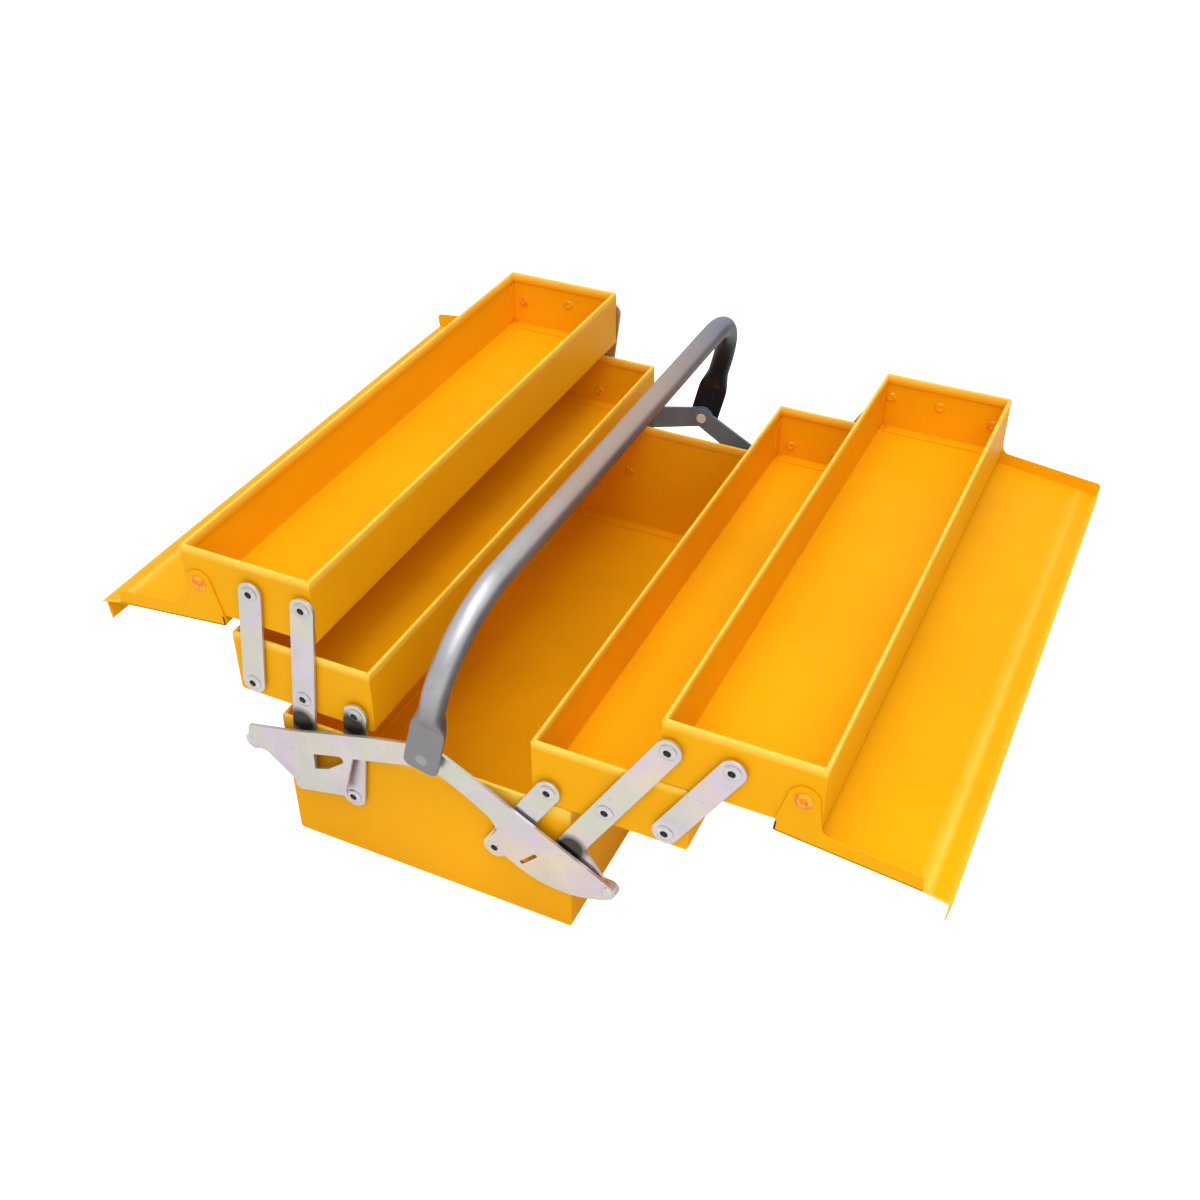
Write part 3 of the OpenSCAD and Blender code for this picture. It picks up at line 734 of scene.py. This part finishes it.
def corner(before, at, after, radius, count=6):
    """A rounded corner of a path: a circle that touches both legs, as points from leg to leg."""
    before, at, after = (np.asarray(p, float) for p in (before, at, after))
    first, second = (leg / np.linalg.norm(leg) for leg in (before - at, after - at))
    half = math.acos(np.clip(first @ second, -1, 1)) / 2
    reach = radius / math.tan(half)
    centre = at + (first + second) / np.linalg.norm(first + second) * radius / math.sin(half)
    a, b = at + first * reach - centre, at + second * reach - centre
    start = math.atan2(a[1], a[0])
    sweep = (math.atan2(b[1], b[0]) - start + math.pi) % (2 * math.pi) - math.pi
    turn = start + np.linspace(0, 1, count) * sweep
    return centre + radius * np.stack([np.cos(turn), np.sin(turn)], 1)


def lid_sheet(half_length, edge, crease, sheet, sizes):
    """The bent sheet of a shut lid about its pivot, carried along y: lip, strip, crease, panel,
    bend and skirt. A painted highlight lies on its edge, its bend and its ends, and on the crease
    less and less towards the far end."""
    half = sheet.thickness / 2
    lip_top = edge + (0, sizes.lip - half)
    bend = np.array((sizes.outer_edge - half, crease[1]))
    skirt = np.array((bend[0], sizes.top - sizes.outer_skirt))
    sharp, soft, tight = 0.0011, 0.012, 0.0013
    edge_arc = corner(lip_top, edge, crease, sharp)
    crease_arc = corner(edge, crease, bend, soft, 7)
    bend_arc = corner(crease, bend, skirt, tight)
    lip_foot = edge_arc[0] + (0, 0.0002)
    lip = [*straight(lip_top, lip_foot, 5), lip_foot]
    path = np.concatenate([
        lip, edge_arc[:-1],
        straight(edge_arc[-1], crease_arc[0], 4), crease_arc[:-1],
        straight(crease_arc[-1], bend_arc[0], 14), bend_arc[:-1],
        straight(bend_arc[-1], skirt, 3), [skirt],
    ])
    on_lip = np.arange(len(path)) < len(lip)
    ring, faces, index = carry_sheet(
        path, on_lip * sizes.lip_near - half_length, half_length - on_lip * sizes.lip_far,
        LONG_ROWS, -sheet.ripple, seed=11,
    )
    narrow, wide = 0.002, 0.003
    on_edge = fading(np.abs(path[:, 0] - edge[0]), narrow) * (path[:, 1] < edge[1] + wide)
    on_bend = fading(np.abs(path - bend).max(1), narrow)
    on_crease = fading(np.abs(path[:, 0] - crease[0]), wide)
    along = station_shares(LONG_ROWS)[:, None]
    at_ends = fading(np.minimum(along, 1 - along), EDGE_SHARE)
    rim = np.maximum(0.7 * np.maximum(on_edge, on_bend), on_crease * (0.75 - 0.5 * along))
    return ring[..., [1, 0, 2]], faces, np.maximum(rim, 0.7 * at_ends)[:, index]


def lid_ear(half_length, end, start, sheet, sizes):
    """The flat skirt and ear at one end of a shut lid about its pivot: an outline that begins
    at the free edge, goes round the pivot on a circle and is as thick as the sheet."""
    foot, ear = sizes.top - sizes.end_skirt, sizes.ear
    outline = np.concatenate([
        start,
        straight((start[-1][0] + 0.002, foot), (-1.7 * ear, foot), 5),
        corner(start[-1], (-1.55 * ear, foot), (-ear, 0), 0.005),
        arc((0, 0), ear, 180, 360, 19),
        corner((ear, 0), (sizes.outer_edge, foot), (sizes.outer_edge, sizes.top), 0.002, 4),
        [(sizes.outer_edge, sizes.top - sheet.thickness / 2)],
    ])
    layers = (half_length - sheet.thickness, half_length - 0.0002, half_length)
    plate = np.array([[(x, end * y, z) for x, z in outline] for y in layers])
    return plate, rod_faces(len(layers), len(outline)), 0.0


def lid_piece(side_name):
    """A lid: its shape when shut, turned about its pivot to where it stands open."""
    sheet = bpy.context.scene.toolbox_sheet
    sizes = bpy.context.scene.toolbox_lid
    node = "lid_" + side_name
    half_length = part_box(node)[1].y
    half = sheet.thickness / 2
    crease = np.array((sizes.crease - sizes.free_edge, sizes.top - half))
    rise = sizes.crease * math.tan(sizes.crease_turn)
    edge = np.array((half - sizes.free_edge, crease[1] + rise))
    foot = sizes.top - sizes.end_skirt
    starts = {
        "near": [(crease[0] + 0.002, crease[1]), (crease[0] + 0.0045, foot)],
        "far": [crease, edge + (half, 0), (edge[0] + half, foot + 0.002), (edge[0] + 0.0025, foot)],
    }
    parts = [lid_sheet(half_length, edge, crease, sheet, sizes)]
    parts += [lid_ear(half_length, ENDS[end], start, sheet, sizes) for end, start in starts.items()]
    points, faces, rim = joined(parts)
    pivot = JOINTS[side_name + "_lid_turn"]["pos_m"]
    (x, y, z), cos, sin = points.T, math.cos(sizes.turn), math.sin(sizes.turn)
    along, up = x * cos + z * sin, z * cos - x * sin
    points = np.stack([pivot[0] + SIDES[side_name] * along, y, pivot[2] + up], -1)
    return mesh_piece("lid_panel_" + side_name, node, points, faces, rim=rim)


# ---- rivets


def rings_of(profile, segments):
    """A ring of points round the y axis for each (radius, height) pair of a profile."""
    turn = np.linspace(0, 2 * math.pi, segments, endpoint=False)
    radius, height = profile[:, 0, None], profile[:, 1, None]
    rings = [radius * np.cos(turn), height + 0 * turn, radius * np.sin(turn)]
    return np.stack(rings, -1).reshape(-1, 3)


def turned(profile, segments):
    """A profile of (radius, height) pairs turned about the y axis, along which heights run.
    Its first and last points lie on the axis."""
    poles = np.array([(0, profile[0, 1], 0), (0, profile[-1, 1], 0)])
    rows = len(profile) - 2
    faces = grid_faces(rows, segments)
    first, last, top = rows * segments, rows * segments + 1, (rows - 1) * segments
    for s in range(segments):
        t = (s + 1) % segments
        faces += [[first, s, t], [last, top + t, top + s]]
    return np.concatenate([rings_of(profile[1:-1], segments), poles]), faces


def at_each(places, points, faces, weight=0.0):
    """The same points and faces at both ends of each (x, z) place."""
    return joined([
        (points * (1, end, 1) + (x, 0, z), faces, weight)
        for x, z in places for end in ENDS.values()
    ])


def rivet_profile(sizes, seat):
    """A rivet along its axis: formed tail with a dimple, shank, and a domed head with a
    drilled mouth. The head's height falls off with the square of the way to its rim."""
    tail, shank, head, mouth = (d / 2 for d in (sizes.tail, sizes.shank, sizes.head, sizes.mouth))
    rise, floor, edge, lip = sizes.rise, seat - sizes.rise, 0.0002, 0.0003
    formed = [(0, 0.55), (0.35, 0.6), (0.6, 0.98), (0.85, 0.75), (1, 0.25), (0.99, 0)]
    t = np.linspace(0, 1, 8)
    dome = np.stack([
        head - (head - mouth - lip) * t, seat + edge + (rise - edge) * (1 - (1 - t) ** 2)
    ], 1)
    return np.array([
        *(np.array(formed) * (tail, -rise) + (0, WALL_IN)),
        (shank, WALL_IN), (shank, seat), (head * 0.98, seat), *dome,
        (mouth, seat + rise - lip), (mouth, floor + lip), (mouth - lip, floor), (0, floor + edge),
    ])


def axis_points(*names):
    """Places of the named joints in the side view, as (x, z)."""
    return [(JOINTS[name]["pos_m"][0], JOINTS[name]["pos_m"][2]) for name in names]


def rivet_set(name, node, profile, places, finish="rivet_plate"):
    """One turned profile repeated at each place and each end, with weights for the tail, which is
    painted over with the wall, and for the mouth in the head, which gets painted shade."""
    sizes = bpy.context.scene.toolbox_rivet
    points, faces = turned(profile, sizes.segments)
    points, faces, radius = at_each(places, points, faces, np.hypot(points[:, 0], points[:, 2]))
    inside = np.abs(points[:, 1]) < WALL_IN + 0.0001
    mouth = (radius < sizes.mouth / 2 + 0.0001) & ~inside
    return mesh_piece(name, node, points, faces, finish, 50, painted=inside, mouth=mouth)


def washer_set(name, node, places):
    """Washers on the end walls: a section, its outer edges slanted, turned at each place."""
    sizes = bpy.context.scene.toolbox_rivet
    inner, outer, cut = sizes.shank / 2, sizes.washer / 2, 0.0002
    low, high = WALL_OUT, WALL_OUT + sizes.washer_thickness
    section = np.array([
        (inner, low), (outer - cut, low), (outer, low + cut), (outer, high - cut),
        (outer - cut, high), (inner, high),
    ])
    faces = grid_faces(len(section), sizes.segments, last_to_first=True)
    points, faces, _ = at_each(places, rings_of(section, sizes.segments), faces)
    return mesh_piece(name, node, points, faces, "rivet_plate", 50)


# ---- handle


def handle_section(height, sizes):
    """Half width and half thickness of the tube and the power of its outline, at each height
    above the foot pin: flat at the foot, round above the taper, by a smooth step. The foot's
    lower corners are rounded by circles."""
    share = np.clip((height - sizes.foot_flat) / sizes.foot_taper, 0, 1)
    share = share * share * (3 - 2 * share)
    corner_r = sizes.foot_corner
    inside = np.clip(corner_r - (height + sizes.foot_down), 0, corner_r)
    cut = corner_r - np.sqrt(corner_r**2 - inside**2)
    width = sizes.foot_width / 2 * (1 - share) + sizes.tube / 2 * share - cut
    thick = sizes.foot_thickness / 2 * (1 - share) + sizes.tube / 2 * share
    return width, thick, 7 - 5 * share ** 0.6


def handle_piece():
    """The handle: a section carried along two legs, two quarter bends and a bar. The section
    is a rounded rectangle whose power runs from seven at the feet to a circle's two."""
    sizes = bpy.context.scene.toolbox_handle
    side_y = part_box("handle")[1].y - sizes.tube / 2
    rise = sizes.height - sizes.bend
    leg = np.concatenate([
        -sizes.foot_down + sizes.foot_corner * (1 - np.cos(np.radians(np.linspace(0, 90, 8)))),
        np.linspace(-sizes.foot_down + 1.3 * sizes.foot_corner, rise - 0.001, 44),
    ])
    bar = np.linspace(sizes.bend - side_y, side_y - sizes.bend, 60)[1:-1]
    near = np.concatenate([
        np.stack([np.full(len(leg), -side_y), leg], 1),
        arc((sizes.bend - side_y, rise), sizes.bend, 180, 90, 22),
    ])
    bar = np.stack([bar, np.full(len(bar), sizes.height)], 1)
    path = np.concatenate([near, bar, (near * (-1, 1))[::-1]])
    width, thick, power = (size[:, None] for size in handle_section(path[:, 1], sizes))
    turn = np.linspace(0, 2 * math.pi, 48, endpoint=False)
    cos, sin = np.cos(turn)[None], np.sin(turn)[None]
    x = width * np.sign(cos) * np.abs(cos) ** (2 / power)
    out = thick * np.sign(sin) * np.abs(sin) ** (2 / power)
    y, z = path.T[..., None] - path_normals(path).T[..., None] * out
    pin = JOINTS["handle_swing"]["pos_m"]
    lean_cos, lean_sin = math.cos(sizes.lean), math.sin(sizes.lean)
    points = np.stack([
        pin[0] + x * lean_cos + z * lean_sin, y, pin[2] - x * lean_sin + z * lean_cos,
    ], -1)
    # Painted shade: darkest on its right side, then underneath, least on top and on the flat feet
    under = np.clip(np.maximum(0.9 * cos, -0.4 * cos) - 0.43 * sin, 0, 1)
    under = under * np.clip((7 - power) / 5, 0.3, 1)
    faces = rod_faces(*points.shape[:2])
    return mesh_piece("handle_tube", "handle", points, faces, "satin_tube", 60, under=under)


# ---- operators


class TOOLBOX_OT_box(bpy.types.Operator):
    """Make the bottom box's bent sheet and its two end walls"""

    bl_idname = "toolbox.box"
    bl_label = "Bottom box"

    def execute(self, context):
        trough_piece("box_sheet", "box_trough")
        for end in ENDS:
            end_wall_piece("box_wall", "box_end", end)
        return {"FINISHED"}


class TOOLBOX_OT_trays(bpy.types.Operator):
    """Make the four trays"""

    bl_idname = "toolbox.trays"
    bl_label = "Trays"

    def execute(self, context):
        for side in SIDES:
            for level in ("lower", "upper"):
                trough_piece(f"{level}_sheet_{side}", f"{level}_tray_{side}")
                for end in ENDS:
                    end_wall_piece(f"{level}_wall_{side}", f"{level}_end_{side}", end)
        return {"FINISHED"}


class TOOLBOX_OT_lids(bpy.types.Operator):
    """Make the two lids"""

    bl_idname = "toolbox.lids"
    bl_label = "Lids"

    def execute(self, context):
        for side in SIDES:
            lid_piece(side)
        return {"FINISHED"}


class TOOLBOX_OT_links(bpy.types.Operator):
    """Make the links, the long arms and the toggle plates"""

    bl_idname = "toolbox.links"
    bl_label = "Links and toggles"

    def execute(self, context):
        # The far toggle plates get painted shade in place of the near ones' bright zinc
        toggle_finish = {"near": "bright_zinc", "far": "slate_plate"}
        for side in SIDES:
            for end in ENDS:
                for part in ("long_arm", "inner_link", "outer_link", "toggle"):
                    node = f"{part}_{side}_{end}"
                    # Links and arms: zinc with painted shade near the toggle plates
                    finish = toggle_finish[end] if part == "toggle" else "greased_zinc"
                    softened_piece(node + "_plate", node, finish, PLATE_ROUNDING)
        return {"FINISHED"}


class TOOLBOX_OT_rivets(bpy.types.Operator):
    """Make the rivets, the washers and the pins"""

    bl_idname = "toolbox.rivets"
    bl_label = "Rivets"

    def execute(self, context):
        sizes = context.scene.toolbox_rivet
        link_rivet = rivet_profile(sizes, LINK_OUT)
        lid_rivet = rivet_profile(sizes, EAR_OUT)
        places = axis_points(
            "right_fold", "right_inner_link_swing", "left_fold", "left_inner_link_swing"
        )
        rivet_set("box_rivet_set", "box_rivets", link_rivet, places)
        washer_set("box_washer_set", "box_washers", places)
        for side in SIDES:
            outer, middle, top, lid = axis_points(*(side + part for part in (
                "_outer_link_swing", "_lower_tray_level", "_upper_tray_level", "_lid_turn",
            )))
            pitch = middle[0] - outer[0]
            lower = [outer, middle, (middle[0] + pitch, middle[1])]
            upper = [(top[0] - pitch, top[1]), top]
            rivet_set(f"lower_rivet_set_{side}", f"lower_rivets_{side}", link_rivet, lower)
            washer_set(f"lower_washer_set_{side}", f"lower_washers_{side}", lower)
            washer_set(f"upper_washer_set_{side}", f"upper_washers_{side}", upper)
            rivet_set(f"upper_rivet_set_{side}", f"upper_rivets_{side}", link_rivet, upper)
            rivet_set(
                f"lid_pivot_set_{side}", f"upper_rivets_{side}", lid_rivet, [lid], "painted_rivet"
            )
        for node in ("crank_pins_right", "toggle_pins_left"):
            softened_piece(node + "_turned", node, "rivet_plate", PIN_ROUNDING)
        softened_piece("handle_pins_turned", "handle_pins", "pin_plate", PIN_ROUNDING)
        return {"FINISHED"}


class TOOLBOX_OT_handle(bpy.types.Operator):
    """Make the tube handle"""

    bl_idname = "toolbox.handle"
    bl_label = "Handle"

    def execute(self, context):
        handle_piece()
        return {"FINISHED"}


def area_lamp(name, place, size, watts):
    """A square area lamp that faces the middle of the box."""
    lamp = bpy.data.lights.new(name, "AREA")
    lamp.energy, lamp.size = watts, size
    holder = bpy.data.objects.new(name, lamp)
    holder.location = place
    aim = Vector((0, 0, 0.1)) - Vector(place)
    holder.rotation_euler = aim.to_track_quat("-Z", "Y").to_euler()
    bpy.context.scene.collection.objects.link(holder)


def mix_shaders(tree, factor, first, second, output):
    """Two shaders mixed by the factor, as the tree's output."""
    mixed = add_node(tree, "MixShader", {"Fac": factor, 1: first, 2: second})["Shader"]
    wire(tree, tree.nodes[output], {"Surface": mixed})


class TOOLBOX_OT_stage(bpy.types.Operator):
    """Make the floor, the lamps, the world and the camera"""

    bl_idname = "toolbox.stage"
    bl_label = "Stage"

    def execute(self, context):
        scene = context.scene
        scene.view_settings.view_transform = "Standard"
        self.floor()
        self.world(scene)
        area_lamp("key_lamp", (0.6, -1.3, 1.5), 1.4, 14)
        area_lamp("top_lamp", (0.0, -0.2, 2.2), 1.6, 20)
        area_lamp("side_lamp", (1.0, -0.3, 1.9), 1.4, 5.5)
        self.camera(scene)
        return {"FINISHED"}

    def floor(self):
        """A matt white floor that glows a little, for the camera only, so that it reads white."""
        far = 12.0
        mesh = bpy.data.meshes.new("floor")
        points = [(-far, -far, 0), (far, -far, 0), (far, far, 0), (-far, far, 0)]
        mesh.from_pydata(points, [], [(0, 1, 2, 3)])
        material, tree, shader = shader_nodes("floor_white")
        matt = wire(tree, shader, {
            "Base Color": (0.9, 0.9, 0.9, 1), "Roughness": 0.9, "Specular IOR Level": 0.0,
        })["BSDF"]
        glow = add_node(tree, "Emission", {"Strength": 0.84})["Emission"]
        both = add_node(tree, "AddShader", {0: matt, 1: glow})["Shader"]
        camera_ray = add_node(tree, "LightPath")["Is Camera Ray"]
        mix_shaders(tree, camera_ray, matt, both, "Material Output")
        mesh.materials.append(material)
        floor = bpy.data.objects.new("floor", mesh)
        bpy.context.scene.collection.objects.link(floor)

    def world(self, scene):
        """Pale light all round, plain white to the camera, in reflections and through glass."""
        world = bpy.data.worlds.new("studio")
        scene.world = world
        world.use_nodes = True
        tree = world.node_tree
        white = (1, 1, 1, 1)
        ground = wire(tree, tree.nodes["Background"], {"Color": white, "Strength": 0.55})
        seen = add_node(tree, "Background", {"Color": white, "Strength": 1.0})
        rays = add_node(tree, "LightPath")
        most = maths(tree, "MAXIMUM", rays["Is Camera Ray"], rays["Is Glossy Ray"])
        every = maths(tree, "MAXIMUM", most, rays["Is Transmission Ray"])
        mix_shaders(tree, every, ground["Background"], seen["Background"], "World Output")

    def camera(self, scene):
        """A camera that looks from its place along its azimuth and elevation, then rolled."""
        sizes = scene.toolbox_stage
        a, e, roll = sizes.azimuth, sizes.elevation, sizes.roll
        back = Vector((math.sin(a) * math.cos(e), -math.cos(a) * math.cos(e), math.sin(e)))
        right = Vector((math.cos(a), math.sin(a), 0))
        up = back.cross(right)
        rolled_right = right * math.cos(roll) + up * math.sin(roll)
        rolled_up = -right * math.sin(roll) + up * math.cos(roll)
        data = bpy.data.cameras.new("camera")
        data.lens, data.sensor_width = sizes.lens, 36.0
        camera = bpy.data.objects.new("camera", data)
        turn = Matrix((rolled_right, rolled_up, back)).transposed()
        camera.matrix_world = Matrix.Translation(Vector(sizes.place)) @ turn.to_4x4()
        scene.collection.objects.link(camera)
        scene.camera = camera


class TOOLBOX_PT_panel(bpy.types.Panel):
    """Lists the tool box's pieces and their sizes"""

    bl_label = "Tool Box"
    bl_idname = "TOOLBOX_PT_panel"
    bl_space_type = "VIEW_3D"
    bl_region_type = "UI"
    bl_category = "Tool Box"

    def draw(self, context):
        for operator in OPERATORS:
            self.layout.operator(operator.bl_idname)
        for name, group in GROUPS.items():
            box = self.layout.box()
            box.label(text=group.__doc__)
            for field in group.__annotations__:
                box.prop(getattr(context.scene, name), field)


GROUPS = {
    "toolbox_sheet": SheetSizes,
    "toolbox_lid": LidSizes,
    "toolbox_handle": HandleSizes,
    "toolbox_rivet": RivetSizes,
    "toolbox_finishes": Finishes,
    "toolbox_stage": StageSizes,
}
OPERATORS = (
    TOOLBOX_OT_box, TOOLBOX_OT_trays, TOOLBOX_OT_lids, TOOLBOX_OT_links, TOOLBOX_OT_rivets,
    TOOLBOX_OT_handle, TOOLBOX_OT_stage,
)
CLASSES = (*GROUPS.values(), *OPERATORS, TOOLBOX_PT_panel)


def register():
    for each in CLASSES:
        bpy.utils.register_class(each)
    for name, group in GROUPS.items():
        setattr(bpy.types.Scene, name, PointerProperty(type=group))


def unregister():
    for name in GROUPS:
        delattr(bpy.types.Scene, name)
    for each in reversed(CLASSES):
        bpy.utils.unregister_class(each)


def main():
    register()
    bpy.ops.toolbox.box()
    bpy.ops.toolbox.trays()
    bpy.ops.toolbox.lids()
    bpy.ops.toolbox.links()
    bpy.ops.toolbox.rivets()
    bpy.ops.toolbox.handle()
    bpy.ops.toolbox.stage()


if __name__ == "__main__":
    main()
